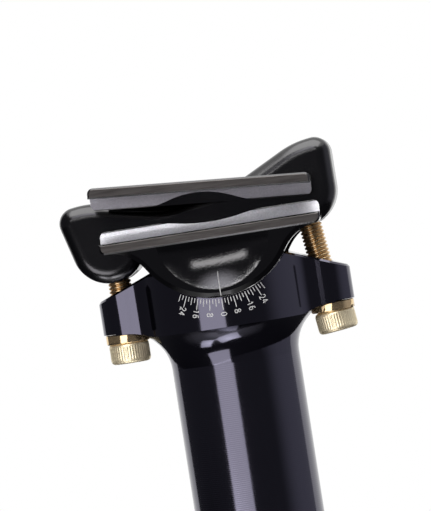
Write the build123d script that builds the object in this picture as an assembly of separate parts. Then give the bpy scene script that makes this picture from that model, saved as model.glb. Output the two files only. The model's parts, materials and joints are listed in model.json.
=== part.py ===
from build123d import *
import os
from math import atan2, cos, degrees, radians, sin, sqrt, tan

# A setback bicycle seatpost whose head holds two saddle rails between jaws drawn together by two bolts.
# +Z runs up the straight lower tube, +X to the front of the bicycle and +Y to its left, in millimetres.
# The origin lies on the tube's axis at the minimum insertion line.

# Tube
TUBE_DIAMETER = 27.2
POST_LENGTH = 250.0
MINIMUM_INSERTION = 75.0
BEND_ANGLE = 10.0
BEND_RADIUS = 225.0
BEND_TO_RAILS = 107.0
WALL_FRONT_AND_BACK = 2.6
WALL_SIDES = 1.6
BORE_ROOF = 8.0
TUBE_END_CHAMFER = 0.5

# Head: drops are measured below the rail axis along the leaning tube, and the blend between each ear and
# the round head is a share of the largest that fits
HEAD_RADIUS = 17.8
HEAD_DROP = 22.5
NECK_FILLET = 9.0
EAR_REACH = 26.9
EAR_END_RADIUS = 6.0
EAR_BLEND_SHARE = 0.757
EAR_END_DROP = 15.2
EAR_SLOPE = 21.0
EAR_CHAMFER = 0.4
SEAT_INSET = 5.0
SEAT_DROP = 22.2

# Saddle rails
RAIL_DIAMETER = 7.0
RAIL_SPACING = 44.0
RAIL_PLAY = 0.1

# Jaws: both clamps grip the rails with a bar of this section on each side
JAW_LENGTH = 46.0
JAW_WIDTH = 52.0
JAW_DEPTH = 5.2
JAW_PARTING = 0.5
OUTER_LIP = 3.0
JAW_CORNER = 1.2
JAW_CHAMFER = 0.4
RELIEF_LENGTH = 23.0
RELIEF_SHOULDER = 0.62
UPPER_RELIEF = 2.3
LOWER_RELIEF = 1.2

# Lower clamp
ROCKER_RADIUS = 17.5
ROCKER_WIDTH = 37.0
ROCKER_HALF_ANGLE = 57.0
ROCKER_CHAMFER = 1.0
ROCKER_CLEARANCE = 0.1
WING_KNEE_OUT = 3.5
WING_KNEE_DROP = 1.1
WING_INSET = 0.8
DISH_RADIUS = 34.0
DISH_RIM_RADIUS = 12.0
DISH_DROP = 3.7
DISH_EDGE_FILLET = 0.5
POCKET_DROP = 7.5
POCKET_HALF_LENGTH = 12.3
POCKET_WIDTH = 24.0
NOTCH_WIDTH = 26.4

# Upper clamp: its two ears stand on a line turned up towards the front
JAW_OPENING_ANGLE = 4.5
UPPER_SETBACK = 1.1
SPINE_TURN = 12.1
SPINE_SETBACK = 0.4
NUT_LINE_DROP = 2.84
EAR_INSET = 0.9
NUT_INSET = 1.25
NUT_ADVANCE = 0.35
EAR_RADIUS = 7.7
EAR_LEAN = 7.4
EAR_TOP_RISE = 10.0
EAR_TOP_FILLET = 3.4
BROW_ADVANCE = 1.3
WAIST_RISE = 5.0
WAIST_HALF_LENGTH = 8.0
WAIST_FILLET = 18.0
KEEL_DROP = 3.0
SPINE_WIDTH = 21.0
SPINE_RIM_FILLET = 3.0
PLATE_LENGTH = 40.0
PLATE_TOP = 4.4

# Fasteners
THREAD_DIAMETER = 4.9
SHANK_LENGTH = 30.0
SHANK_CHAMFER = 0.5
BOLT_HEAD_DIAMETER = 8.5
BOLT_HEAD_HEIGHT = 4.3
BOLT_HEAD_CHAMFER = 0.5
HEX_ACROSS_FLATS = 4.0
HEX_DEPTH = 2.6
WASHER_DIAMETER = 9.3
WASHER_THICKNESS = 2.1
WASHER_HOLE = 6.0
WASHER_GAP = 0.1
BALL_RADIUS = 9.0
BALL_CLEARANCE = 0.05
NUT_DIAMETER = 8.0
NUT_LENGTH = 14.0
NUT_CLEARANCE = 0.05
NUT_END_PLAY = 0.15
THREAD_CLEARANCE = 0.05
BOLT_HOLE_CLEARANCE = 0.3

# The clamp's tilt, nose down from how it stands
TILT_UP = -2.0
TILT_DOWN = 14.0

# Shapes that are joined run this far into each other
OVERLAP = 1.0

# Worked out from the sizes above
tube_radius = TUBE_DIAMETER / 2
rail_radius = RAIL_DIAMETER / 2
rail_offset = RAIL_SPACING / 2
half_jaw = JAW_LENGTH / 2
bolt_radius = THREAD_DIAMETER / 2
hole_radius = bolt_radius + BOLT_HOLE_CLEARANCE
cradle_radius = ROCKER_RADIUS + ROCKER_CLEARANCE
ball_drop = WASHER_GAP + WASHER_THICKNESS / 2 + BALL_RADIUS
lower_end = -MINIMUM_INSERTION
ear_straight = EAR_REACH - EAR_END_RADIUS
blend_room = ear_straight**2 + EAR_END_RADIUS**2 - HEAD_RADIUS**2
largest_blend = blend_room / (2 * (HEAD_RADIUS - EAR_END_RADIUS))
seat_offset = EAR_REACH - SEAT_INSET
nut_half_span = seat_offset - NUT_INSET
ear_half_span = seat_offset - EAR_INSET
ear_brow = ear_half_span + BROW_ADVANCE
bend_corner = POST_LENGTH - BEND_TO_RAILS - MINIMUM_INSERTION
lean = radians(BEND_ANGLE)
rails_x = -BEND_TO_RAILS * sin(lean)
rails_z = bend_corner + BEND_TO_RAILS * cos(lean)
head_frame = Location((rails_x, 0, rails_z), (0, -BEND_ANGLE, 0))
jaw_lift = half_jaw * sin(radians(JAW_OPENING_ANGLE)) + RAIL_PLAY
upper_frame = Location((-UPPER_SETBACK, 0, jaw_lift), (0, JAW_OPENING_ANGLE, 0))
spine_frame = upper_frame * Location((-SPINE_SETBACK, 0, -NUT_LINE_DROP), (0, -SPINE_TURN, 0))
ear_reach_up = ear_half_span + EAR_RADIUS / cos(radians(EAR_LEAN)) + EAR_TOP_RISE * tan(radians(EAR_LEAN))


def across(face, half_width):
    """A solid with this outline of x and z, as wide as twice half_width in y."""
    return extrude(Plane.XZ * face, half_width, both=True)


def on_both_sides(face, inner, outer):
    """A pair of solids with this outline of x and z, from inner to outer on each side."""
    right = extrude(Plane.XZ.offset(inner) * face, outer - inner)
    return right + mirror(right, Plane.XZ)


def crosswise(radius, length):
    """A round bar along y."""
    return Rot(90, 0, 0) * Cylinder(radius, length)


def tilted(point, angle):
    """A point of x and z turned nose down about the rail axis."""
    turn = radians(angle)
    x, z = point
    return (x * cos(turn) + z * sin(turn), z * cos(turn) - x * sin(turn))


class Fastening:
    """Where one bolt runs, from its seat under the post's ear to its barrel nut."""

    def __init__(self, end):
        self.end = end
        self.on_spine = Pos(end * nut_half_span + NUT_ADVANCE, 0, 0)
        nut = (spine_frame * self.on_spine).position
        self.nut = (nut.X, nut.Z)
        self.seat = (end * seat_offset, -SEAT_DROP)
        rise_x = self.nut[0] - self.seat[0]
        rise_z = self.nut[1] - self.seat[1]
        self.lean = degrees(atan2(rise_x, rise_z))
        self.frame = Location((self.seat[0], 0, self.seat[1]), (0, self.lean, 0))
        self.drift = [self.seat_drift(angle) for angle in (TILT_UP, 0, TILT_DOWN)]

    def seat_drift(self, angle):
        """How far the bolt's head slides along its seat when the clamp tilts."""
        x, z = tilted(self.nut, angle)
        return x - self.nut[0] - (z - self.nut[1]) * tan(radians(self.lean))


front = Fastening(1)
rear = Fastening(-1)


def bent_tube(section, top_drop, overrun=0.0):
    """A section carried up the tube's bent axis, to a drop below the rail axis."""
    top = head_frame * Pos(0, 0, -top_drop)
    start = (0, 0, lower_end - overrun)
    path = FilletPolyline(start, (0, 0, bend_corner), tuple(top.position), radius=BEND_RADIUS)
    return sweep(Pos(*start) * section, path=path)


def ear_slot(bolt):
    """The slot that lets a bolt slide in the post's ear as the clamp tilts."""
    travel = max(bolt.drift) - min(bolt.drift)
    middle = (max(bolt.drift) + min(bolt.drift)) / 2
    slot = SlotCenterToCenter(travel, 2 * hole_radius)
    height = SEAT_DROP - EAR_END_DROP + EAR_REACH
    return bolt.frame * Pos(middle, 0, 0) * extrude(slot, height / 2, both=True)


def seat_face(bolt):
    """The flat spot that is cut under an ear for the washer, open at the ear's end."""
    radius = WASHER_DIAMETER / 2 + max(abs(drift) for drift in bolt.drift) + BOLT_HOLE_CLEARANCE
    depth = HEAD_DROP + NECK_FILLET - SEAT_DROP
    outward = Pos(bolt.end * HEAD_RADIUS / 2, 0) * Rectangle(HEAD_RADIUS, 2 * radius)
    spot = extrude(Circle(radius) + outward, -depth)
    return Pos(bolt.seat[0], 0, bolt.seat[1]) * spot


def make_post():
    """Tube, bend, neck and eared head, machined from one piece."""
    outline = Circle(HEAD_RADIUS) + SlotOverall(2 * EAR_REACH, 2 * EAR_END_RADIUS)
    corners = [corner for corner in outline.vertices() if EAR_END_RADIUS < abs(corner.X) < HEAD_RADIUS]
    outline = fillet(corners, EAR_BLEND_SHARE * largest_blend)
    neck_drop = HEAD_DROP + NECK_FILLET
    blank = Pos(0, 0, -neck_drop) * extrude(outline, neck_drop)
    slope = tan(radians(EAR_SLOPE))
    outer = EAR_REACH + EAR_END_RADIUS / 2
    outer_drop = EAR_END_DROP + (outer - EAR_REACH) * slope
    ridge_drop = EAR_END_DROP - EAR_REACH * slope
    roof = make_face(Polyline(
        (-outer, -HEAD_DROP), (-outer, -outer_drop), (0, -ridge_drop), (outer, -outer_drop),
        (outer, -HEAD_DROP), close=True,
    ))
    head = blank & across(roof, 2 * HEAD_RADIUS)
    roof_rims = head.faces().sort_by(Axis.Z)[-2:].edges().filter_by(Axis.Y, reverse=True)
    head = chamfer(roof_rims, EAR_CHAMFER)
    flare = make_face([
        Line((0, -neck_drop), (tube_radius, -neck_drop)),
        CenterArc((tube_radius + NECK_FILLET, -neck_drop), NECK_FILLET, 90, 90),
        Line((tube_radius + NECK_FILLET, -HEAD_DROP), (0, -HEAD_DROP)),
        Line((0, -HEAD_DROP), (0, -neck_drop)),
    ])
    neck = revolve(Plane.XZ * flare, Axis.Z) & blank
    head = head + neck - crosswise(cradle_radius, 3 * HEAD_RADIUS)
    for bolt in (front, rear):
        head = head - ear_slot(bolt) - seat_face(bolt)
    tube = bent_tube(Circle(tube_radius), neck_drop)
    bore = Ellipse(tube_radius - WALL_FRONT_AND_BACK, tube_radius - WALL_SIDES)
    post = tube + head_frame * head - bent_tube(bore, cradle_radius + BORE_ROOF, overrun=OVERLAP)
    return chamfer(post.edges().group_by(Axis.Z)[0], TUBE_END_CHAMFER)


def bars(side):
    """The two rail bars of a jaw, below the rails for side -1 and above them for side 1."""
    middle = side * (JAW_PARTING + JAW_DEPTH) / 2
    profile = Pos(0, middle) * RectangleRounded(JAW_LENGTH, JAW_DEPTH - JAW_PARTING, JAW_CORNER)
    blank = on_both_sides(profile, NOTCH_WIDTH / 2, JAW_WIDTH / 2)
    shelf = Pos(0, side * OUTER_LIP / 2) * Rectangle(2 * JAW_LENGTH, OUTER_LIP)
    blank = blank - on_both_sides(shelf, rail_offset, JAW_WIDTH)
    ends = blank.faces().filter_by(Axis.Y).group_by(Axis.Y)
    return chamfer(ends[0].edges() + ends[-1].edges(), JAW_CHAMFER)


def rail_grooves():
    """The two round channels that the saddle rails lie in."""
    groove = Rot(0, 90, 0) * Cylinder(rail_radius, 2 * JAW_LENGTH)
    return Pos(0, rail_offset, 0) * groove + Pos(0, -rail_offset, 0) * groove


def rail_relief(side, depth):
    """The lens-shaped relief in the middle of each groove's inner wall."""
    half = RELIEF_LENGTH / 2
    edge = side * JAW_PARTING
    shoulder = edge + side * RELIEF_SHOULDER * depth
    swell = Spline(
        (-half, edge), (-half / 2, shoulder), (0, edge + side * depth), (half / 2, shoulder), (half, edge),
        tangents=[(1, 0), (1, 0)],
    )
    mouth = Polyline((half, edge), (half, 0), (-half, 0), (-half, edge))
    return on_both_sides(make_face([swell, mouth]), POCKET_WIDTH / 2, rail_offset)


def make_lower_clamp():
    """The rocker: a round underside in the post's cradle, with wings that carry the rail bars."""
    turn = radians(ROCKER_HALF_ANGLE)
    foot = (ROCKER_RADIUS * sin(turn), -ROCKER_RADIUS * cos(turn))
    knee = (foot[0] + WING_KNEE_OUT, -JAW_DEPTH - WING_KNEE_DROP)
    tip = (half_jaw - WING_INSET, -JAW_DEPTH)
    belly = CenterArc((0, 0), ROCKER_RADIUS, 270 - ROCKER_HALF_ANGLE, 2 * ROCKER_HALF_ANGLE)
    wing = Spline(foot, knee, tip, tangents=[(cos(turn), sin(turn)), (1, 0)])
    deck = Polyline(tip, (tip[0], -JAW_PARTING), (-tip[0], -JAW_PARTING), (-tip[0], tip[1]))
    rocker = across(make_face([belly, wing, deck, mirror(wing, Plane.YZ)]), ROCKER_WIDTH / 2)
    ends = rocker.faces().filter_by(Axis.Y)
    under = [edge for edge in ends.edges() if edge.center().Z < -JAW_DEPTH]
    rocker = chamfer(under, ROCKER_CHAMFER)
    dish_centre = ROCKER_WIDTH / 2 + sqrt(DISH_RADIUS**2 - DISH_RIM_RADIUS**2)
    for side in (-1, 1):
        rocker = rocker - Pos(0, side * dish_centre, -DISH_DROP) * Sphere(DISH_RADIUS)
    round_rims = rocker.faces().filter_by(Axis.Y).edges().filter_by(GeomType.CIRCLE).group_by(SortBy.RADIUS)
    rocker = fillet(round_rims[0], DISH_EDGE_FILLET)
    clamp = rocker + bars(-1) - rail_grooves() - rail_relief(-1, LOWER_RELIEF)
    clamp = clamp - Box(2 * POCKET_HALF_LENGTH, POCKET_WIDTH, 2 * POCKET_DROP)
    notch = Box(JAW_LENGTH, NOTCH_WIDTH, 4 * ROCKER_RADIUS)
    for end in (-1, 1):
        clamp = clamp - Pos(end * (POCKET_HALF_LENGTH + half_jaw), 0, 0) * notch
    return clamp


def spine_profile():
    """Side outline of the upper clamp's spine: two ears round the barrel nuts and a low waist."""
    slant = radians(EAR_LEAN)
    front_half = [
        (WAIST_HALF_LENGTH, WAIST_RISE), (ear_brow, EAR_TOP_RISE), (ear_reach_up, EAR_TOP_RISE),
        (ear_half_span + EAR_RADIUS * cos(slant), -EAR_RADIUS * sin(slant)), (ear_half_span, -KEEL_DROP),
    ]
    rear_half = [(-x, z) for x, z in reversed(front_half)]
    body = make_face(Polyline(*front_half, *rear_half, close=True))
    corners = body.vertices().sort_by(Axis.X)
    body = fillet([corners[0], corners[-1]], EAR_TOP_FILLET)
    bends = [corner for corner in body.vertices() if corner.Y > 0 and abs(corner.X) <= ear_brow]
    body = fillet(bends, WAIST_FILLET)
    ears = [Pos(end * ear_half_span, 0) * Circle(EAR_RADIUS) for end in (-1, 1)]
    return body + ears


def nut_trough(bolt):
    """The open trough that a barrel nut lies in."""
    radius = NUT_DIAMETER / 2 + NUT_CLEARANCE
    length = NUT_LENGTH + 2 * NUT_END_PLAY
    rise = 2 * EAR_TOP_RISE
    shaft = Pos(0, 0, rise / 2) * Box(2 * radius, length, rise)
    return bolt.on_spine * (crosswise(radius, length) + shaft)


def swing_slot(bolt):
    """The slot through an ear, narrowest at the nut, that lets its bolt swing as the clamp tilts."""
    straight = -bolt.lean - SPINE_TURN + JAW_OPENING_ANGLE
    back = radians(straight + TILT_UP)
    fore = radians(straight + TILT_DOWN)
    depth = 2 * EAR_RADIUS
    wedge = make_face(Polyline(
        (-hole_radius / cos(back), 0), (-hole_radius / cos(back) + depth * tan(back), -depth),
        (hole_radius / cos(fore) + depth * tan(fore), -depth), (hole_radius / cos(fore), 0), close=True,
    ))
    hourglass = wedge + Rot(0, 0, 180) * wedge
    return bolt.on_spine * across(hourglass, hole_radius)


def make_upper_clamp():
    """The upper jaw: a spine with upturned ears, a plate across it and the rail bars."""
    spine = across(spine_profile(), SPINE_WIDTH / 2)
    rims = [edge for edge in spine.faces().filter_by(Axis.Y).edges() if edge.center().Z > -KEEL_DROP]
    spine = fillet(rims, SPINE_RIM_FILLET)
    plate_rise = (JAW_PARTING + PLATE_TOP) / 2
    plate = Pos(0, 0, plate_rise) * Box(PLATE_LENGTH, 2 * rail_offset, PLATE_TOP - JAW_PARTING)
    jaw = plate + bars(1) - rail_grooves() - rail_relief(1, UPPER_RELIEF)
    body = upper_frame * jaw + spine_frame * spine
    for bolt in (front, rear):
        body = body - spine_frame * (nut_trough(bolt) + swing_slot(bolt))
    return body


def make_bolt(bolt):
    """Cap screw whose head meets the washer on a ball face, so that the screw can lean."""
    head_bottom = WASHER_GAP + WASHER_THICKNESS + BOLT_HEAD_HEIGHT
    ball_top = ball_drop - BALL_RADIUS + BALL_CLEARANCE
    blank = Pos(0, 0, -head_bottom) * extrude(Circle(BOLT_HEAD_DIAMETER / 2), head_bottom)
    blank = chamfer(blank.edges().sort_by(Axis.Z)[0], BOLT_HEAD_CHAMFER)
    head = blank & Pos(0, 0, -ball_drop) * Sphere(BALL_RADIUS - BALL_CLEARANCE)
    socket = RegularPolygon(HEX_ACROSS_FLATS / 2, 6, major_radius=False)
    head = head - Pos(0, 0, -head_bottom) * extrude(socket, HEX_DEPTH)
    shank = extrude(Circle(bolt_radius), SHANK_LENGTH + OVERLAP)
    shank = chamfer(shank.edges().sort_by(Axis.Z)[-1], SHANK_CHAMFER)
    return bolt.frame * (head + Pos(0, 0, -ball_top - OVERLAP) * shank)


def make_washer(bolt):
    """Seat washer, flat against the ear and dished under for the bolt's head."""
    ball = (bolt.frame * Pos(0, 0, -ball_drop)).position
    ring = Circle(WASHER_DIAMETER / 2) - Circle(WASHER_HOLE / 2)
    middle = (bolt.frame * Pos(0, 0, -WASHER_THICKNESS / 2)).position.X
    top = bolt.seat[1] - WASHER_GAP
    blank = Pos(middle, 0, top) * extrude(ring, -WASHER_THICKNESS)
    return blank - Pos(ball.X, 0, ball.Z) * Sphere(BALL_RADIUS)


def make_barrel_nut(bolt):
    """Cross nut with a tapped hole through its middle."""
    bar = crosswise(NUT_DIAMETER / 2, NUT_LENGTH)
    hole = Cylinder(bolt_radius + THREAD_CLEARANCE, 2 * NUT_DIAMETER)
    return Pos(bolt.nut[0], 0, bolt.nut[1]) * Rot(0, bolt.lean, 0) * (bar - hole)


pieces = {
    "post": make_post(),
    "lower_clamp": head_frame * make_lower_clamp(),
    "upper_clamp": head_frame * make_upper_clamp(),
}
for place, bolt in (("front", front), ("rear", rear)):
    pieces[f"{place}_bolt"] = head_frame * make_bolt(bolt)
    pieces[f"{place}_washer"] = head_frame * make_washer(bolt)
    pieces[f"{place}_barrel_nut"] = head_frame * make_barrel_nut(bolt)

os.makedirs("parts", exist_ok=True)
for name, piece in pieces.items():
    export_step(piece, f"parts/{name}.step")
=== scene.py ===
import json
from math import acos, cos, pi, radians, sin, sqrt
from typing import NamedTuple

import bpy
import numpy as np
from bpy.props import FloatProperty, FloatVectorProperty, IntProperty, PointerProperty
from mathutils import Matrix, Vector


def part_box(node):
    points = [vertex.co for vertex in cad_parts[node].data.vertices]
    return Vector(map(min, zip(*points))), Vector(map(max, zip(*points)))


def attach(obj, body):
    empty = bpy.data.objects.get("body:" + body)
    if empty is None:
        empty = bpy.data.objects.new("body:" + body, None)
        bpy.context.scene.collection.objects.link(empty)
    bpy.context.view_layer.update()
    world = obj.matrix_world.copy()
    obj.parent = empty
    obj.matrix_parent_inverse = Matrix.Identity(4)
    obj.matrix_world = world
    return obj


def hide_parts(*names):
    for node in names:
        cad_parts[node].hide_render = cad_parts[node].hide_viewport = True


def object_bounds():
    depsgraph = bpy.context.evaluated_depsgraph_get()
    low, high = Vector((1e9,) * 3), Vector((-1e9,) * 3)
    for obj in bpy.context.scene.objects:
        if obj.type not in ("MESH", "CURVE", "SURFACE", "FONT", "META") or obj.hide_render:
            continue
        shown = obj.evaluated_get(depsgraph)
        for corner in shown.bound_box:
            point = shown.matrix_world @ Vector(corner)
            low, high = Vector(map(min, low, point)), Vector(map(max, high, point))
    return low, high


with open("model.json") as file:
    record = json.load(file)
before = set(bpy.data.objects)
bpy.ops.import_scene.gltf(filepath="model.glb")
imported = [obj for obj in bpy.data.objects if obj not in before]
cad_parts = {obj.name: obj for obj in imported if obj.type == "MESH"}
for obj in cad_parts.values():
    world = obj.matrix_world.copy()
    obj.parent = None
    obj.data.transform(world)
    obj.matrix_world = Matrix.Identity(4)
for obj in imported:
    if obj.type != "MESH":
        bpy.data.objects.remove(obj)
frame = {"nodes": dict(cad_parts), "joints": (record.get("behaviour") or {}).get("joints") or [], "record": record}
cad_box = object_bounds()

bl_info = {
    "name": "Setback seatpost",
    "version": (1, 0, 0),
    "blender": (4, 5, 0),
    "location": "3D View > Sidebar > Seatpost",
    "description": "Finishes and fastenings of a bicycle seatpost with a two-bolt rail clamp",
    "category": "Object",
}

MM = 0.001

# Two sizes nearer than this are taken as one
NEAR = 0.01 * MM

# How many finer layers a noise has
PLAIN_DETAIL = 2.0
FINE_DETAIL = 3.0

JOINTS = {joint["name"]: joint for joint in frame["joints"]}
MOUNTS = {mount["name"]: mount for mount in frame["record"]["mounts"]}

# The head's own axes: the rails' middle, forward along the rails, and up square to them
RAILS = np.array(JOINTS["tilt"]["pos_m"])
FORWARD = np.array(MOUNTS["left_rail"]["axis"])
SIDEWAYS = np.array([0.0, 1.0, 0.0])
UPWARD = np.cross(FORWARD, SIDEWAYS)

# The shared frame's origin, and its upright axis, along the lower tube
ORIGIN = (0.0, 0.0, 0.0)
UPRIGHT = (0.0, 0.0, 1.0)

ENDS = ("front", "rear")


def head_point(x, y, z):
    """Points given forward, sideways and up from the rails' middle, as rows of the shared frame."""
    x, y, z = np.broadcast_arrays(x, y, z)
    return RAILS + x[..., None] * FORWARD + y[..., None] * SIDEWAYS + z[..., None] * UPWARD


class FinishSettings(bpy.types.PropertyGroup):
    """Colours of the seatpost's finishes, and where they begin and end."""

    anodised: FloatVectorProperty(
        name="Anodised black", description="Colour of the black anodised aluminium",
        subtype="COLOR", size=3, min=0.0, max=1.0, default=(0.092, 0.089, 0.113),
    )
    clamp_black: FloatVectorProperty(
        name="Clamp black", description="Colour of the clamps' satin black",
        subtype="COLOR", size=3, min=0.0, max=1.0, default=(0.084, 0.083, 0.084),
    )
    head_zinc: FloatVectorProperty(
        name="Bolt heads", description="Colour of the bolt heads' pale yellow plating",
        subtype="COLOR", size=3, min=0.0, max=1.0, default=(0.96, 0.87, 0.60),
    )
    washer_zinc: FloatVectorProperty(
        name="Washers", description="Colour of the washers' polished gold plating",
        subtype="COLOR", size=3, min=0.0, max=1.0, default=(0.86, 0.67, 0.38),
    )
    thread_zinc: FloatVectorProperty(
        name="Threads", description="Colour of the threads' darker gold plating",
        subtype="COLOR", size=3, min=0.0, max=1.0, default=(0.76, 0.56, 0.31),
    )
    steel: FloatVectorProperty(
        name="Bright steel", description="Colour of the barrel nuts",
        subtype="COLOR", size=3, min=0.0, max=1.0, default=(0.58, 0.56, 0.53),
    )
    mark: FloatVectorProperty(
        name="Marks", description="Colour of the etched scale and index line",
        subtype="COLOR", size=3, min=0.0, max=1.0, default=(0.60, 0.60, 0.575),
    )
    sawn: FloatVectorProperty(
        name="Sawn faces", description="Colour of the rail bars' outer faces",
        subtype="COLOR", size=3, min=0.0, max=1.0, default=(0.15, 0.138, 0.130),
    )
    sawn_face: FloatProperty(
        name="Sawn from", description="Distance from the middle plane at which the outer faces begin",
        unit="LENGTH", min=0.0, default=25.9 * MM,
    )
    # Painted light: the lower grooves' matt grey is set near white for the overhead lamps' light on faces that
    # look up
    lower_groove: FloatVectorProperty(
        name="Lower grooves", description="Colour of the matt grooves under the rails",
        subtype="COLOR", size=3, min=0.0, max=1.0, default=(0.95, 0.94, 0.98),
    )
    # Painted shade: the upper grooves' matt grey is set darker for the shade on faces that look down
    upper_groove: FloatVectorProperty(
        name="Upper grooves", description="Colour of the matt grooves over the rails",
        subtype="COLOR", size=3, min=0.0, max=1.0, default=(0.58, 0.56, 0.60),
    )
    groove_middle: FloatProperty(
        name="Groove place", description="Distance of the rail grooves' middle from the middle plane",
        unit="LENGTH", min=0.0, default=22.0 * MM,
    )
    groove_half: FloatProperty(
        name="Groove half width", description="Half the width of the matt band along the rail grooves",
        unit="LENGTH", min=0.0, default=3.42 * MM,
    )
    turning_pitch: FloatProperty(
        name="Turning pitch", description="Distance between the fine turned lines on the tube",
        unit="LENGTH", min=0.1 * MM, default=0.42 * MM,
    )
    bend_drop: FloatProperty(
        name="Bend", description="Distance of the tube's bend below the rails",
        unit="LENGTH", default=107.0 * MM,
    )
    neck_drop: FloatProperty(
        name="Neck", description="Distance of the turned tube's upper end below the rails",
        unit="LENGTH", default=31.5 * MM,
    )


class FasteningSettings(bpy.types.PropertyGroup):
    """Sizes of the bolts' and washers' small forms."""

    thread_pitch: FloatProperty(
        name="Thread pitch", description="Rise of the bolt's thread in one turn",
        unit="LENGTH", min=0.1 * MM, default=0.8 * MM,
    )
    thread_depth: FloatProperty(
        name="Thread depth", description="Depth of the thread below the shank's outside",
        unit="LENGTH", min=0.0, default=0.42 * MM,
    )
    knurl_count: IntProperty(
        name="Knurl ridges", description="Ridges round the bolt's head", min=8, default=46,
    )
    knurl_depth: FloatProperty(
        name="Knurl depth", description="Depth of the grooves round the bolt's head",
        unit="LENGTH", min=0.0, default=0.08 * MM,
    )
    socket_width: FloatProperty(
        name="Socket", description="Width across the flats of the bolt's hexagonal socket",
        unit="LENGTH", min=0.0, default=4.0 * MM,
    )
    socket_depth: FloatProperty(
        name="Socket depth", description="Depth of the bolt's hexagonal socket",
        unit="LENGTH", min=0.0, default=2.6 * MM,
    )
    socket_bevel: FloatProperty(
        name="Socket bevel", description="Width of the bevel round the socket's mouth",
        unit="LENGTH", min=0.0, default=0.3 * MM,
    )
    knurl_end: FloatProperty(
        name="Knurl ends", description="Length over which each knurled groove runs out",
        unit="LENGTH", min=0.0, default=0.15 * MM,
    )
    head_edge: FloatProperty(
        name="Head rounding", description="Radius of the rounded edges of the bolt's head",
        unit="LENGTH", min=0.0, default=0.85 * MM,
    )
    ball_radius: FloatProperty(
        name="Ball face", description="Radius of the ball face on top of the bolt's head",
        unit="LENGTH", min=0.0, default=8.95 * MM,
    )
    ball_clearance: FloatProperty(
        name="Ball clearance", description="Gap between the bolt's ball face and the washer's dish",
        unit="LENGTH", min=0.0, default=0.05 * MM,
    )
    washer_edge: FloatProperty(
        name="Washer rounding", description="Radius of the washer's rounded rims",
        unit="LENGTH", min=0.0, default=0.3 * MM,
    )


class ScaleSettings(bpy.types.PropertyGroup):
    """Sizes of the tilt scale on the head and of the index line on the lower clamp."""

    first_radius: FloatProperty(
        name="Scale radius", description="Distance of the ticks' inner ends from the rail axis",
        unit="LENGTH", min=0.0, default=17.85 * MM,
    )
    tick_step: IntProperty(
        name="Tick step", description="Degrees from one tick to the next", min=1, default=2,
    )
    tick_limit: IntProperty(
        name="Last tick", description="Degrees of the tick at each end", min=1, default=28,
    )
    tick_lengths: FloatVectorProperty(
        name="Tick lengths", description="Lengths of the plain, the middle and the numbered ticks",
        unit="LENGTH", size=3, min=0.0, default=(0.97 * MM, 1.55 * MM, 2.4 * MM),
    )
    label_step: IntProperty(
        name="Label step", description="Degrees from one numeral to the next", min=1, default=8,
    )
    label_limit: IntProperty(
        name="Largest label", description="Degrees of the numeral at each end", min=1, default=24,
    )
    label_radius: FloatProperty(
        name="Label radius", description="Distance of the numerals' middles from the rail axis",
        unit="LENGTH", min=0.0, default=21.1 * MM,
    )
    numeral_height: FloatProperty(
        name="Numeral height", description="Height of the scale's numerals",
        unit="LENGTH", min=0.0, default=1.25 * MM,
    )
    numeral_width: FloatProperty(
        name="Numeral width", description="Width of one numeral", unit="LENGTH", min=0.0, default=0.68 * MM,
    )
    numeral_pitch: FloatProperty(
        name="Numeral pitch", description="Distance from one numeral to the next in a label",
        unit="LENGTH", min=0.0, default=0.98 * MM,
    )
    stroke: FloatProperty(
        name="Stroke", description="Width of the etched lines", unit="LENGTH", min=0.0, default=0.16 * MM,
    )
    index_inner: FloatProperty(
        name="Index start", description="Distance of the index line's inner end from the rail axis",
        unit="LENGTH", min=0.0, default=12.2 * MM,
    )
    index_outer: FloatProperty(
        name="Index end", description="Distance of the index line's outer end from the rail axis",
        unit="LENGTH", min=0.0, default=17.3 * MM,
    )
    rocker_face: FloatProperty(
        name="Rocker face", description="Distance of the lower clamp's flat face from the middle plane",
        unit="LENGTH", min=0.0, default=18.5 * MM,
    )
    rocker_flat: FloatProperty(
        name="Rocker flat", description="Radius at which the flat face turns into the chamfer",
        unit="LENGTH", min=0.0, default=16.5 * MM,
    )
    dish_radius: FloatProperty(
        name="Dish radius", description="Radius of the ball that hollows the face",
        unit="LENGTH", min=0.0, default=34.0 * MM,
    )
    dish_rim: FloatProperty(
        name="Dish rim", description="Radius of the dish's rim", unit="LENGTH", min=0.0, default=12.0 * MM,
    )
    dish_drop: FloatProperty(
        name="Dish drop", description="Distance of the dish's middle below the rail axis",
        unit="LENGTH", min=0.0, default=3.7 * MM,
    )


class StageSettings(bpy.types.PropertyGroup):
    """Place and framing of the camera."""

    azimuth: FloatProperty(
        name="Azimuth", description="How far the camera stands round towards the front",
        subtype="ANGLE", default=radians(3.0),
    )
    elevation: FloatProperty(
        name="Elevation", description="How far the camera looks down", subtype="ANGLE", default=radians(1.0),
    )
    roll: FloatProperty(
        name="Roll", description="How far the camera leans", subtype="ANGLE", default=radians(1.1),
    )
    distance: FloatProperty(
        name="Distance", description="From the camera to the head's middle plane",
        unit="LENGTH", min=0.1, default=0.9,
    )
    image_scale: FloatProperty(
        name="Image scale", description="Image points for each metre at the head's middle plane",
        min=1.0, default=4720.0,
    )
    rails_right: FloatProperty(
        name="Rails from left", description="Image points from the left edge to the rails' middle",
        default=212.9,
    )
    rails_down: FloatProperty(
        name="Rails from top", description="Image points from the top edge to the rails' middle",
        default=213.0,
    )


SETTINGS = {
    "seatpost_finish": FinishSettings,
    "seatpost_fastening": FasteningSettings,
    "seatpost_scale": ScaleSettings,
    "seatpost_stage": StageSettings,
}


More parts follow.
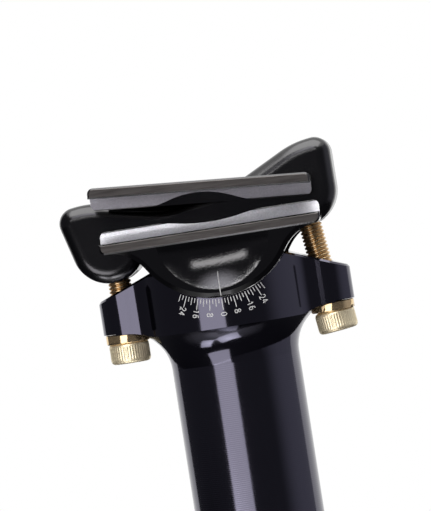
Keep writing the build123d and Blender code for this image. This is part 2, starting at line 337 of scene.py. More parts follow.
class NodeSheet:
    """The nodes of a material, lamp or world, with short calls to add and join them."""

    def __init__(self, owner):
        owner.use_nodes = True
        self.tree = owner.node_tree

    def add(self, kind, **settings):
        """A new node with its settings."""
        node = self.tree.nodes.new(kind)
        for key, value in settings.items():
            setattr(node, key, value)
        return node

    def join(self, start, end):
        """A link from a node's output to another's input."""
        self.tree.links.new(start, end)

    def fill(self, node, *values):
        """A node with its inputs given in order, each as a plain value or as another node's output."""
        for socket, value in zip(node.inputs, values):
            if isinstance(value, bpy.types.NodeSocket):
                self.join(value, socket)
            else:
                socket.default_value = value
        return node

    def math(self, operation, *values):
        """One step of arithmetic."""
        return self.fill(self.add("ShaderNodeMath", operation=operation), *values).outputs["Value"]

    def vector_math(self, operation, *values):
        """The node of one step of arithmetic on vectors."""
        return self.fill(self.add("ShaderNodeVectorMath", operation=operation), *values)

    def object_coordinates(self):
        """Each point's place in its object, which is its place in the shared frame."""
        return self.add("ShaderNodeTexCoord").outputs["Object"]

    def along(self, vector, axis, origin=ORIGIN):
        """Distance of each point along an axis from an origin."""
        shifted = self.vector_math("SUBTRACT", vector, tuple(origin))
        return self.vector_math("DOT_PRODUCT", shifted.outputs["Vector"], tuple(axis)).outputs["Value"]

    def upright_distance(self):
        """Distance of each point from the upright axis through the origin."""
        level = self.vector_math("MULTIPLY", self.object_coordinates(), (1, 1, 0))
        return self.vector_math("LENGTH", level.outputs["Vector"]).outputs["Value"]

    def stretched(self, vector, axis, share):
        """Points drawn in along an axis to a share of their distance, so that a pattern runs that way."""
        drawn = self.vector_math("SCALE", tuple(axis))
        self.join(self.math("MULTIPLY", self.along(vector, axis), share - 1.0), drawn.inputs["Scale"])
        return self.vector_math("ADD", vector, drawn.outputs["Vector"]).outputs["Vector"]

    def noise(self, vector, scale, detail=PLAIN_DETAIL):
        """A cloudy value from 0 to 1, with its scale in repeats for each metre."""
        node = self.add("ShaderNodeTexNoise")
        node.inputs["Scale"].default_value = scale
        node.inputs["Detail"].default_value = detail
        self.join(vector, node.inputs["Vector"])
        return node.outputs["Fac"]

    def spread(self, value, low, high):
        """A 0 to 1 value carried to the range from low to high."""
        node = self.add("ShaderNodeMapRange")
        node.inputs["To Min"].default_value = low
        node.inputs["To Max"].default_value = high
        self.join(value, node.inputs["Value"])
        return node.outputs["Result"]

    def smooth_step(self, value, start, end, low=0.0, high=1.0):
        """low up to the start, high from the end on, and a smooth change between them."""
        node = self.add("ShaderNodeMapRange", interpolation_type="SMOOTHSTEP")
        for name, number in {"From Min": start, "From Max": end, "To Min": low, "To Max": high}.items():
            node.inputs[name].default_value = number
        self.join(value, node.inputs["Value"])
        return node.outputs["Result"]

    def blend(self, factor, first, second):
        """A mix of two colours, each given as a colour or as another node's colour."""
        node = self.add("ShaderNodeMix", data_type="RGBA")
        colours = [socket for socket in node.inputs if socket.type == "RGBA"]
        for socket, value in zip(colours, (first, second)):
            if isinstance(value, bpy.types.NodeSocket):
                self.join(value, socket)
            else:
                socket.default_value = (*value, 1.0)
        self.join(factor, node.inputs["Factor"])
        return next(socket for socket in node.outputs if socket.type == "RGBA")

    def seen_directly(self):
        """1 for rays from the camera, mirrors and glass, and 0 for those that only carry light."""
        path = self.add("ShaderNodeLightPath")
        seen = self.math("MAXIMUM", path.outputs["Is Camera Ray"], path.outputs["Is Glossy Ray"])
        return self.math("MAXIMUM", seen, path.outputs["Is Transmission Ray"])


class FinishSheet(NodeSheet):
    """The nodes of a new material, round its main shader."""

    def __init__(self, name):
        self.material = bpy.data.materials.new(name)
        super().__init__(self.material)
        self.shader = self.tree.nodes["Principled BSDF"]
        self.surface = self.tree.nodes["Material Output"].inputs["Surface"]

    def set(self, **values):
        """Give the shader's inputs plain values."""
        for key, value in values.items():
            self.shader.inputs[key.replace("_", " ")].default_value = value

    def vary(self, **values):
        """Give the shader's inputs values that change over the surface."""
        for key, value in values.items():
            self.join(value, self.shader.inputs[key.replace("_", " ")])

    def bump(self, height, distance):
        """Raise the surface's shading by a 0 to 1 height times a distance."""
        node = self.add("ShaderNodeBump")
        node.inputs["Distance"].default_value = distance
        self.join(height, node.inputs["Height"])
        self.vary(Normal=node.outputs["Normal"])

    def cover(self, share, shader):
        """Put another shader over the surface by a share."""
        mix = self.add("ShaderNodeMixShader")
        self.fill(mix, share, self.shader.outputs["BSDF"], shader.outputs[0])
        self.join(mix.outputs["Shader"], self.surface)


def shaded(colour, share):
    """A colour made lighter or darker by a share."""
    return tuple(min(1.0, channel * share) for channel in colour)


def two_shades(colour, shares):
    """A darker and a lighter shade of a colour, by two shares."""
    return [shaded(colour, share) for share in shares]


# Turned tube: the stains in its gloss, and what the turned lines add
TUBE_STAIN_SCALE = 160.0
TUBE_ROUGHNESS = (0.07, 0.11)
TURNED_DEPTHS = (0.3, 1.0)
TURNED_SHADE = 1.3
TURNED_ROUGHNESS = 0.06
TURNED_HEIGHT = 0.004 * MM


def anodised_tube(finish):
    """Glossy black, with fine turned lines round the tube and none on the machined head.

    The lines are the crests of a sine wave along the axis of the bent tube's leg that the point lies on.
    """
    sheet = FinishSheet("anodised_tube")
    colour = tuple(finish.anodised)
    sheet.set(Metallic=1.0)
    place = sheet.object_coordinates()
    lower = sheet.along(place, UPRIGHT)
    upper = sheet.along(place, UPWARD, RAILS)
    leg = sheet.add("ShaderNodeMix", data_type="FLOAT")
    sheet.join(sheet.math("GREATER_THAN", upper, -finish.bend_drop), leg.inputs["Factor"])
    sheet.join(lower, leg.inputs["A"])
    sheet.join(upper, leg.inputs["B"])
    wave = sheet.math("SINE", sheet.math("MULTIPLY", leg.outputs["Result"], 2 * pi / finish.turning_pitch))
    stain = sheet.noise(place, TUBE_STAIN_SCALE, FINE_DETAIL)
    below_neck = sheet.math("LESS_THAN", upper, -finish.neck_drop)
    depth = sheet.math("MULTIPLY", below_neck, sheet.spread(stain, *TURNED_DEPTHS))
    turned = sheet.math("MULTIPLY", sheet.math("MAXIMUM", wave, 0.0), depth)
    added = sheet.math("MULTIPLY", turned, TURNED_ROUGHNESS)
    sheet.vary(
        Base_Color=sheet.blend(turned, colour, shaded(colour, TURNED_SHADE)),
        Roughness=sheet.math("ADD", sheet.spread(stain, *TUBE_ROUGHNESS), added),
    )
    sheet.bump(turned, TURNED_HEIGHT)
    return sheet.material


# Clamps: their grain and stains, the matt rail grooves with their painted light and shade, and the brushed outer
# faces of the bars
CLAMP_GRAIN_SCALE = 2600.0
CLAMP_GRAIN_HEIGHT = 0.008 * MM
CLAMP_STAIN_SCALE = 120.0
CLAMP_SHADES = (0.9, 1.15)
LOWER_CLAMP_ROUGHNESS = (0.06, 0.1)
UPPER_CLAMP_ROUGHNESS = (0.18, 0.24)
MATT_ROUGHNESS = 0.36
GROOVE_COVER = (0.55, 1.0)
GROOVE_METAL = 0.6
BRUSH_SCALE = 2200.0
BRUSH_STRETCH = 0.06
BRUSH_SHADES = (0.35, 1.65)

# A face is flat or an end where its normal's part along that axis reaches this share
FLAT_SHARE = 0.97
END_SHARE = 0.5


def anodised_clamp(name, finish, groove_matt_and_light, roughness):
    """Black of a clamp, with matt rail grooves whose colour carries painted light on the lower clamp and painted
    shade on the upper, and brushed outer faces on the bars.

    A groove is what lies within its half width of the rail, and is neither a flat face nor an end.
    """
    sheet = FinishSheet(name)
    place = sheet.object_coordinates()
    facing = sheet.add("ShaderNodeTexCoord").outputs["Normal"]
    grain = sheet.noise(place, CLAMP_GRAIN_SCALE, FINE_DETAIL)
    stain = sheet.noise(place, CLAMP_STAIN_SCALE, FINE_DETAIL)
    outward = sheet.math("ABSOLUTE", sheet.along(place, SIDEWAYS))
    sawn = sheet.math("GREATER_THAN", outward, finish.sawn_face)
    beside_rail = sheet.math("COMPARE", outward, finish.groove_middle, finish.groove_half)
    not_flat = sheet.math("LESS_THAN", sheet.math("ABSOLUTE", sheet.along(facing, UPWARD)), FLAT_SHARE)
    not_end = sheet.math("LESS_THAN", sheet.math("ABSOLUTE", sheet.along(facing, FORWARD)), END_SHARE)
    groove = sheet.math("MULTIPLY", sheet.math("MULTIPLY", beside_rail, not_flat), not_end)
    black = sheet.blend(stain, *two_shades(finish.clamp_black, CLAMP_SHADES))
    # The grooves take the given colour, which is painted light on the lower clamp and painted shade on the upper
    matt = sheet.math("MULTIPLY", groove, sheet.spread(grain, *GROOVE_COVER))
    brushed = sheet.noise(sheet.stretched(place, FORWARD, BRUSH_STRETCH), BRUSH_SCALE, FINE_DETAIL)
    outer = sheet.blend(brushed, *two_shades(finish.sawn, BRUSH_SHADES))
    dull = sheet.math("MULTIPLY", sheet.math("MAXIMUM", groove, sawn), MATT_ROUGHNESS)
    sheet.vary(
        Base_Color=sheet.blend(sawn, sheet.blend(matt, black, groove_matt_and_light), outer),
        Metallic=sheet.spread(groove, 1.0, GROOVE_METAL),
        Roughness=sheet.math("ADD", sheet.spread(stain, *roughness), dull),
    )
    sheet.bump(grain, CLAMP_GRAIN_HEIGHT)
    return sheet.material


# Plating: its drift towards copper, its patches of gloss, and each piece's share of metal and roughness
DRIFT_SCALE = 420.0
PALE_SHADE = 1.05
COPPER_SHARES = (0.95, 0.86, 0.78)
PATCH_SCALE = 900.0
HEAD_METAL = 0.75
HEAD_ROUGHNESS = (0.3, 0.42)
GOLD_METAL = 0.95
THREAD_ROUGHNESS = (0.22, 0.34)
WASHER_ROUGHNESS = (0.07, 0.14)


def yellow_zinc(name, colour, metal, roughness):
    """Gold plating with a faint drift towards copper and a gloss that varies in patches."""
    sheet = FinishSheet(name)
    sheet.set(Metallic=metal)
    place = sheet.object_coordinates()
    copper = [channel * share for channel, share in zip(colour, COPPER_SHARES)]
    sheet.vary(
        Base_Color=sheet.blend(sheet.noise(place, DRIFT_SCALE), shaded(colour, PALE_SHADE), copper),
        Roughness=sheet.spread(sheet.noise(place, PATCH_SCALE), *roughness),
    )
    return sheet.material


# Barrel nuts: their turned lines
NUT_LINE_PITCH = 0.3 * MM
NUT_LINE_HEIGHT = 0.01 * MM
NUT_SHADES = (0.9, 1.08)
NUT_ROUGHNESS = (0.25, 0.4)


def bright_steel(finish):
    """Turned steel of the barrel nuts, with fine lines across their length."""
    sheet = FinishSheet("bright_steel")
    sheet.set(Metallic=1.0)
    noise = sheet.add("ShaderNodeTexNoise", noise_dimensions="1D")
    noise.inputs["Scale"].default_value = 1.0 / NUT_LINE_PITCH
    sheet.join(sheet.along(sheet.object_coordinates(), SIDEWAYS), noise.inputs["W"])
    lines = noise.outputs["Fac"]
    sheet.vary(
        Base_Color=sheet.blend(lines, *two_shades(finish.steel, NUT_SHADES)),
        Roughness=sheet.spread(lines, *NUT_ROUGHNESS),
    )
    sheet.bump(lines, NUT_LINE_HEIGHT)
    return sheet.material


# Etched marks: their flecks
FLECK_SCALE = 3000.0
MARK_SHADES = (0.85, 1.1)
MARK_ROUGHNESS = 0.6


def etched_mark(finish):
    """Pale laser-etched lines, slightly uneven."""
    sheet = FinishSheet("etched_mark")
    sheet.set(Roughness=MARK_ROUGHNESS)
    fleck = sheet.noise(sheet.object_coordinates(), FLECK_SCALE)
    sheet.vary(Base_Color=sheet.blend(fleck, *two_shades(finish.mark, MARK_SHADES)))
    return sheet.material


def finish_cad(node, material):
    """The CAD node keeps its shape and takes this one material."""
    mesh = frame["nodes"][node].data
    mesh.materials.clear()
    mesh.materials.append(material)


def grid_faces(rows, columns, round_rows=False, round_columns=False):
    """Corner numbers of the squares of a grid of points, closed into a ring where asked."""
    row = np.arange(rows if round_rows else rows - 1)
    column = np.arange(columns if round_columns else columns - 1)
    row, column = np.meshgrid(row, column, indexing="ij")
    next_row = (row + 1) % rows
    next_column = (column + 1) % columns
    corners = [row * columns + column, row * columns + next_column,
               next_row * columns + next_column, next_row * columns + column]
    return np.stack(corners, axis=-1).reshape(-1, 4)


def gather(parts):
    """Several meshes as one list of points and one of faces."""
    counts = np.cumsum([0] + [len(points) for points, faces in parts])
    points = np.concatenate([points for points, faces in parts])
    faces = np.concatenate([faces + start for (part, faces), start in zip(parts, counts)])
    return points, faces


def add_piece(name, parts, body):
    """A smooth mesh at the origin that moves with a body, from parts of points, faces and a material."""
    points, faces = gather([(points.reshape(-1, 3), faces) for points, faces, material in parts])
    mesh = bpy.data.meshes.new(name)
    mesh.from_pydata(points.tolist(), [], faces.tolist())
    for points, faces, material in parts:
        mesh.materials.append(material)
    wearing = np.repeat(np.arange(len(parts)), [len(faces) for points, faces, material in parts])
    mesh.polygons.foreach_set("material_index", wearing)
    mesh.polygons.foreach_set("use_smooth", np.ones(len(wearing), bool))
    mesh.validate()
    mesh.update()
    piece = bpy.data.objects.new(name, mesh)
    bpy.context.scene.collection.objects.link(piece)
    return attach(piece, body)


def node_points(node):
    """Rows of a CAD node's points."""
    mesh = frame["nodes"][node].data
    corners = np.empty(3 * len(mesh.vertices), np.float32)
    mesh.vertices.foreach_get("co", corners)
    return corners.reshape(-1, 3)


class RoundFrame:
    """The axis of a round piece, with its CAD solid measured along and around it."""

    def __init__(self, node, origin, axis):
        self.origin = np.array(origin)
        self.axis = np.array(axis)
        self.ahead = np.cross(SIDEWAYS, self.axis)
        offset = node_points(node) - self.origin
        self.height = offset @ self.axis
        self.radius = np.linalg.norm(offset - self.height[:, None] * self.axis, axis=1)
        self.bottom = self.height.min()
        self.top = self.height.max()
        self.widest = self.radius.max()

    def points(self, radius, angle, height):
        """Points at a radius and angle round the axis and a height along it."""
        radius, angle, height = np.broadcast_arrays(radius, angle, height)
        out = np.cos(angle)[..., None] * self.ahead + np.sin(angle)[..., None] * SIDEWAYS
        return self.origin + radius[..., None] * out + height[..., None] * self.axis


def bolt_frame(end):
    """A bolt's axis, from the joint that turns it."""
    turn = JOINTS[f"{end}_bolt_turn"]
    return RoundFrame(f"{end}_bolt", turn["pos_m"], turn["axis"])


def washer_frame(end):
    """A washer's axis, square to the ear it lies under, halfway along its solid."""
    node = f"{end}_washer"
    ahead = (node_points(node) - RAILS) @ FORWARD
    return RoundFrame(node, RAILS + (ahead.min() + ahead.max()) / 2 * FORWARD, UPWARD)


# How finely the fastenings are divided: round the axis, along an edge or face, and up each turn of thread
KNURL_SIDES = 8
THREAD_SIDES = 40
WASHER_SIDES = 96
EDGE_STEPS = 5
DOME_STEPS = 8
DISH_STEPS = 10
THREAD_STEPS = 10

# Share of the thread's pitch that its flat crest takes
CREST_SHARE = 0.375


def quarter_turn():
    """Angles along a rounded edge."""
    return np.linspace(0, pi / 2, EDGE_STEPS)


def shoulder_height(bolt):
    """Height along a bolt at which its head's side ends in the ball face."""
    return bolt.height[bolt.radius > bolt.widest - NEAR].max()


def ball_middle(bolt, sizes):
    """Height along a bolt of the middle of its ball face, which passes through the shoulder."""
    return shoulder_height(bolt) - sqrt(sizes.ball_radius**2 - bolt.widest**2)


def knurled_head(bolt, sizes):
    """Bolt head from its socket's floor out, up its side and over the ball face to the axis.

    Each row goes round the axis. The socket's rows lie at the half width over the cosine of the angle from
    the nearest flat's middle, which is a hexagon; the side's rows dip by the knurl depth times a squared
    sine, and run out to a plain circle at both ends. The upper edge's arc rolls inside the ball face, so
    its middle lies at the ball's radius less its own from the ball's middle.
    """
    angle = np.linspace(0, 2 * pi, KNURL_SIDES * sizes.knurl_count, endpoint=False)
    sixth = pi / 3
    hexagon = sizes.socket_width / 2 / np.cos((angle + sixth / 2) % sixth - sixth / 2)
    groove = sizes.knurl_depth * np.sin(angle * sizes.knurl_count / 2) ** 2
    ones = np.ones_like(angle)
    edge = sizes.head_edge
    inner = bolt.widest - edge
    bevel = sizes.socket_bevel
    floor = bolt.bottom + sizes.socket_depth
    low = bolt.bottom + edge
    ball = ball_middle(bolt, sizes)
    roll = acos(inner / (sizes.ball_radius - edge))
    high = ball + (sizes.ball_radius - edge) * sin(roll)
    rows = [(0 * ones, floor), (hexagon, floor)]
    rows += [(hexagon, bolt.bottom + bevel), (hexagon + bevel, bolt.bottom)]
    rows += [((inner + edge * sin(t)) * ones, low - edge * cos(t)) for t in quarter_turn()]
    rows += [(bolt.widest - groove, low + sizes.knurl_end), (bolt.widest - groove, high - sizes.knurl_end)]
    rows += [((inner + edge * cos(t)) * ones, high + edge * sin(t)) for t in np.linspace(0, roll, EDGE_STEPS)]
    dome = np.linspace(roll, pi / 2, DOME_STEPS)[1:]
    rows += [(sizes.ball_radius * cos(t) * ones, ball + sizes.ball_radius * sin(t)) for t in dome]
    radius = np.array([row[0] for row in rows])
    height = np.array([row[1] for row in rows])[:, None]
    points = bolt.points(radius, angle, height)
    return points, grid_faces(*radius.shape, round_columns=True)[:, ::-1]


def threaded_shank(bolt, sizes):
    """Bolt shank with its thread.

    The radius falls below the outside by the thread depth times what a ridge leaves of 1. The ridge is a
    triangle wave with its crest cut flat. Its phase is the height over the pitch less the angle over a full
    turn, so that it climbs as a helix, and it runs out over the last turn.
    """
    start = shoulder_height(bolt)
    # Over the joint's place there is only the shank
    outside = bolt.radius[bolt.height > 0].max()
    steps = int(round((bolt.top - start) / sizes.thread_pitch * THREAD_STEPS))
    angle = np.linspace(0, 2 * pi, THREAD_SIDES, endpoint=False)[None, :]
    height = np.linspace(start, bolt.top, steps)[:, None]
    phase = (height / sizes.thread_pitch - angle / (2 * pi)) % 1.0
    ridge = np.clip((1 - np.abs(2 * phase - 1)) / (1 - CREST_SHARE), 0, 1)
    tip = np.clip((bolt.top - height) / sizes.thread_pitch, 0, 1)
    radius = outside - sizes.thread_depth * (1 - tip * ridge)
    radius[[0, -1]] = 0
    points = bolt.points(radius, angle, height)
    return points, grid_faces(*radius.shape, round_columns=True)


def turned_washer(washer, bolt, sizes):
    """Washer as a ring of one closed profile with rounded rims, dished under for the bolt's ball face.

    The dish's height at a point is that of a ball round the middle of the bolt's ball face: the root of its
    squared radius less the squared distance from the ball's upright axis, and never under the flat underside.
    """
    angle = np.linspace(0, 2 * pi, WASHER_SIDES, endpoint=False)[None, :]
    inner = washer.radius.min()
    edge = sizes.washer_edge
    outer = washer.widest - edge
    upper = [(inner, washer.top), (outer, washer.top)]
    upper += [(outer + edge * sin(t), washer.top - edge + edge * cos(t)) for t in quarter_turn()]
    lower = [(outer + edge * cos(t), washer.bottom + edge - edge * sin(t)) for t in quarter_turn()]
    lower += [(radius, washer.bottom) for radius in np.linspace(outer, inner, DISH_STEPS)]
    profile = np.array(upper + lower)[:, :, None] * np.ones(angle.size)
    radius, height = profile[:, 0], profile[:, 1]
    ball = bolt.points(0.0, 0.0, ball_middle(bolt, sizes)) - washer.origin
    off_axis = np.hypot(radius * np.cos(angle) - ball @ washer.ahead, radius * np.sin(angle))
    dish = ball @ washer.axis + np.sqrt((sizes.ball_radius + sizes.ball_clearance) ** 2 - off_axis**2)
    height[len(upper):] = np.maximum(height, dish)[len(upper):]
    points = washer.points(radius, angle, height)
    return points, grid_faces(*radius.shape, round_rows=True, round_columns=True)[:, ::-1]


# Marks: how far they stand over the metal and reach into it, and how finely their lines are divided
MARK_PROUD = 0.03 * MM
MARK_SUNK = 0.02 * MM
STROKE_STEPS = 6
INDEX_STEPS = 24

# Strokes of the numerals, each in a box one wide and one high
BOX_MIDDLE = 0.5
DIGITS = {
    "0": [(0.5, 1), (0.12, 0.82), (0, 0.5), (0.12, 0.18), (0.5, 0), (0.88, 0.18), (1, 0.5), (0.88, 0.82),
          (0.5, 1)],
    "1": [(0.2, 0.78), (0.55, 1), (0.55, 0)],
    "2": [(0.05, 0.76), (0.25, 0.97), (0.6, 1), (0.92, 0.8), (0.85, 0.52), (0.02, 0), (1, 0)],
    "4": [(0.72, 0), (0.72, 1), (0, 0.3), (1, 0.3)],
    "6": [(0.85, 0.93), (0.45, 0.98), (0.1, 0.65), (0.02, 0.3), (0.25, 0.03), (0.7, 0.03), (0.97, 0.3),
          (0.7, 0.57), (0.25, 0.55), (0.05, 0.36)],
    "8": [(0.5, 0.54), (0.12, 0.68), (0.14, 0.92), (0.5, 1), (0.86, 0.92), (0.88, 0.68), (0.5, 0.54),
          (0.05, 0.36), (0.06, 0.1), (0.5, 0), (0.94, 0.1), (0.95, 0.36), (0.5, 0.54)],
}


def head_face(x, z):
    """Sideways place of the head's round near wall, the same at every z.

    It is the root of the head's squared radius less the squared x, on the near side.
    """
    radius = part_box("post")[1].y
    return -np.sqrt(radius**2 - x**2)


def rocker_face(x, z, sizes):
    """Sideways place of the lower clamp's near face.

    It is the innermost of three faces: the flat one, the chamfer that rises by the distance past the flat's
    rim, and the dish, a ball whose height falls with the squared distance from the dish's middle.
    """
    flat = np.full_like(x, -sizes.rocker_face)
    chamfer = np.hypot(x, z) - sizes.rocker_flat - sizes.rocker_face
    off_middle = np.hypot(x, z + sizes.dish_drop)
    depth = np.sqrt(sizes.dish_radius**2 - off_middle**2) - np.sqrt(sizes.dish_radius**2 - sizes.dish_rim**2)
    return np.maximum(np.maximum(flat, chamfer), depth - sizes.rocker_face)


def ribbon(line, width, face):
    """A thin raised band along a line of x and z, lying on a face that gives y for each x and z.

    At each point the band is half its width out on both sides of the line's direction, and its four
    long edges lie just under and just over the face.
    """
    step = np.gradient(line, axis=0)
    step /= np.linalg.norm(step, axis=1, keepdims=True)
    normal = np.stack([-step[:, 1], step[:, 0]], axis=1) * width / 2
    left = line + normal
    right = line - normal
    corners = np.stack([left, right, right, left], axis=1)
    lift = np.array([MARK_PROUD, MARK_PROUD, -MARK_SUNK, -MARK_SUNK])
    y = face(corners[..., 0], corners[..., 1]) - lift
    points = head_point(corners[..., 0], y, corners[..., 1])
    faces = grid_faces(*corners.shape[:2], round_columns=True)
    numbers = np.arange(corners[..., 0].size).reshape(corners.shape[:2])
    caps = np.stack([numbers[0], numbers[-1, ::-1]])
    return points.reshape(-1, 3), np.concatenate([faces, caps])


def dense(points, count=STROKE_STEPS):
    """A broken line with a number of points for each it had, evenly spaced along its length."""
    points = np.array(points, float)
    length = np.concatenate([[0], np.cumsum(np.linalg.norm(np.diff(points, axis=0), axis=1))])
    place = np.linspace(0, length[-1], count * len(points))
    return np.stack([np.interp(place, length, points[:, axis]) for axis in (0, 1)], axis=1)


def around_rails(points, angle):
    """Points of a label, right and outward from its middle, turned by an angle about the rails' axis."""
    right, out = points[:, 0], points[:, 1]
    x = right * cos(angle) + out * sin(angle)
    z = right * sin(angle) - out * cos(angle)
    return np.stack([x, z], axis=1)


def scale_marks(sizes):
    """Ticks and numerals of the tilt scale, fanned about the rails' axis.

    The numerals lie on their sides: each label reads outwards, with its tops towards the front.
    """
    parts = []
    for degrees in range(-sizes.tick_limit, sizes.tick_limit + 1, sizes.tick_step):
        rank = int(degrees % (sizes.label_step / 2) == 0) + int(degrees % sizes.label_step == 0)
        line = [(0, sizes.first_radius), (0, sizes.first_radius + sizes.tick_lengths[rank])]
        parts.append(ribbon(around_rails(dense(line), radians(degrees)), sizes.stroke, head_face))
    for degrees in range(-sizes.label_limit, sizes.label_limit + 1, sizes.label_step):
        label = str(abs(degrees))
        for place, digit in enumerate(label):
            middle = sizes.label_radius + (place - (len(label) - 1) / 2) * sizes.numeral_pitch
            across, up = (np.array(DIGITS[digit]) - BOX_MIDDLE).T
            turned = np.stack([up * sizes.numeral_height, middle + across * sizes.numeral_width], axis=1)
            line = around_rails(dense(turned), radians(degrees))
            parts.append(ribbon(line, sizes.stroke, head_face))
    return gather(parts)


def index_line(sizes):
    """The lower clamp's index line, from the dish over its rim to the chamfer."""
    line = dense([(0, -sizes.index_inner), (0, -sizes.index_outer)], INDEX_STEPS)
    return ribbon(line, sizes.stroke, lambda x, z: rocker_face(x, z, sizes))


class SEATPOST_OT_post(bpy.types.Operator):
    """Finish the tube, neck and eared head"""

    bl_idname = "seatpost.post"
    bl_label = "Post"

    def execute(self, context):
        finish_cad("post", anodised_tube(context.scene.seatpost_finish))
        return {"FINISHED"}


class SEATPOST_OT_clamps(bpy.types.Operator):
    """Finish the two halves of the rail clamp"""

    bl_idname = "seatpost.clamps"
    bl_label = "Clamps"

    def execute(self, context):
        finish = context.scene.seatpost_finish
        # The lower clamp's grooves get a painted-light colour and the upper clamp's a painted-shade colour
        lower = anodised_clamp("lower_clamp_black", finish, finish.lower_groove, LOWER_CLAMP_ROUGHNESS)
        upper = anodised_clamp("upper_clamp_black", finish, finish.upper_groove, UPPER_CLAMP_ROUGHNESS)
        finish_cad("lower_clamp", lower)
        finish_cad("upper_clamp", upper)
        return {"FINISHED"}


class SEATPOST_OT_fastenings(bpy.types.Operator):
    """Make the threaded bolts and turned washers and finish the barrel nuts"""

    bl_idname = "seatpost.fastenings"
    bl_label = "Fastenings"

    def execute(self, context):
        sizes = context.scene.seatpost_fastening
        finish = context.scene.seatpost_finish
        pale = yellow_zinc("plated_head", finish.head_zinc, HEAD_METAL, HEAD_ROUGHNESS)
        golden = yellow_zinc("plated_thread", finish.thread_zinc, GOLD_METAL, THREAD_ROUGHNESS)
        polished = yellow_zinc("polished_washer", finish.washer_zinc, GOLD_METAL, WASHER_ROUGHNESS)
        steel = bright_steel(finish)
        for end in ENDS:
            bolt = bolt_frame(end)
            parts = [(*knurled_head(bolt, sizes), pale), (*threaded_shank(bolt, sizes), golden)]
            screw = add_piece(f"{end}_screw", parts, f"{end}_bolt")
            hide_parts(f"{end}_bolt")
            parts = [(*turned_washer(washer_frame(end), bolt, sizes), polished)]
            washer = add_piece(f"{end}_ring", parts, f"{end}_washer")
            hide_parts(f"{end}_washer")
            finish_cad(f"{end}_barrel_nut", steel)
        return {"FINISHED"}


class SEATPOST_OT_scale(bpy.types.Operator):
    """Etch the tilt scale on the head and the index line on the lower clamp"""

    bl_idname = "seatpost.scale"
    bl_label = "Tilt scale"

    def execute(self, context):
        material = etched_mark(context.scene.seatpost_finish)
        sizes = context.scene.seatpost_scale
        add_piece("tilt_scale", [(*scale_marks(sizes), material)], "post")
        add_piece("tilt_index", [(*index_line(sizes), material)], "clamp")
        return {"FINISHED"}


# Lamps: their colours, and a lamp's middle in its own coordinates
WHITE = (1.0, 1.0, 1.0)
COOL_WHITE = (0.97, 0.95, 1.0)
GLINT_WHITE = (0.95, 0.95, 1.0)
DISH_WHITE = (0.93, 0.92, 1.0)
LAMP_MIDDLE = (0.5, 0.5, 0.0)


class Lamp(NamedTuple):
    """A rectangular lamp that looks at the rails' middle, in metres and radians.

    It fades between two distances from its middle, as shares of its size, and lights all but what it spares.
    """

    toward: tuple
    distance: float
    size: tuple
    radiance: float
    colour: tuple = WHITE
    roll: float = 0.0
    spread: float = pi
    fade: tuple = ()
    spares: tuple = ()


LAMPS = {
    "front_panel": Lamp(
        toward=(-0.334, -0.943, 0.25), distance=1.0, size=(0.67, 1.3), radiance=2.3, colour=COOL_WHITE,
        spares=("lower_clamp", "upper_clamp"),
    ),
    "top_panel": Lamp(toward=(-0.05, -0.275, 0.96), distance=0.9, size=(1.1, 1.04), radiance=2.1),
    "front_strip": Lamp(
        toward=(-0.15, -0.932, 0.315), distance=1.0, size=(0.66, 0.07), radiance=3.6, roll=radians(15.0),
    ),
    "neck_panel": Lamp(
        toward=(-0.283, -0.799, -0.53), distance=0.34, size=(0.2, 0.145), radiance=2.3, colour=COOL_WHITE,
        spares=("floor",),
    ),
    "wide_glint": Lamp(
        toward=(0.12, -0.3, -0.943), distance=0.149, size=(0.056, 0.04), radiance=0.3, colour=GLINT_WHITE,
        spread=radians(50.0), spares=("floor",),
    ),
    "narrow_glint": Lamp(
        toward=(-0.255, -0.29, -0.92), distance=0.149, size=(0.03, 0.04), radiance=0.3, colour=GLINT_WHITE,
        spread=radians(50.0), spares=("floor",),
    ),
    "dish_panel": Lamp(
        toward=(-0.165, -0.791, 0.59), distance=1.0, size=(0.66, 0.46), radiance=2.6, colour=DISH_WHITE,
        roll=radians(15.0), fade=(0.1, 0.5), spares=("floor", "post"),
    ),
}


def soften(lamp_data, start, end):
    """Let a lamp's brightness fall smoothly between two distances from its middle, as shares of its size."""
    sheet = NodeSheet(lamp_data)
    place = sheet.add("ShaderNodeNewGeometry").outputs["Parametric"]
    off_middle = sheet.vector_math("DISTANCE", place, LAMP_MIDDLE).outputs["Value"]
    fall = sheet.smooth_step(off_middle, start, end, 1.0, 0.0)
    sheet.join(fall, sheet.tree.nodes["Emission"].inputs["Strength"])


def add_lamp(name, lamp):
    """A lamp in its place, with the power that gives its brightness: brightness times area times pi."""
    data = bpy.data.lights.new(name, "AREA")
    data.shape = "RECTANGLE"
    data.size, data.size_y = lamp.size
    data.energy = lamp.radiance * pi * data.size * data.size_y
    data.color = lamp.colour
    data.spread = lamp.spread
    if lamp.fade:
        soften(data, *lamp.fade)
    lamp_object = bpy.data.objects.new(name, data)
    direction = Vector(lamp.toward).normalized()
    lamp_object.location = Vector(RAILS) + lamp.distance * direction
    turn = direction.to_track_quat("Z", "Y").to_matrix() @ Matrix.Rotation(lamp.roll, 3, "Z")
    lamp_object.rotation_euler = turn.to_euler()
    lamp_object.visible_camera = False
    bpy.context.scene.collection.objects.link(lamp_object)
    return lamp_object


def aim(lamp_object, objects, state):
    """Let a lamp light only some objects, or all but those, by the state INCLUDE or EXCLUDE."""
    named = bpy.data.collections.new(f"named_by_{lamp_object.name}")
    for entry in objects:
        named.objects.link(entry)
    for entry in named.collection_objects:
        entry.light_linking.link_state = state
    lamp_object.light_linking.receiver_collection = named


def add_stage_mesh(name, points, faces, material):
    """A mesh that belongs to the stage."""
    mesh = bpy.data.meshes.new(name)
    mesh.from_pydata(points.reshape(-1, 3).tolist(), [], faces.tolist())
    mesh.validate()
    mesh.materials.append(material)
    stage_object = bpy.data.objects.new(name, mesh)
    bpy.context.scene.collection.objects.link(stage_object)
    return stage_object


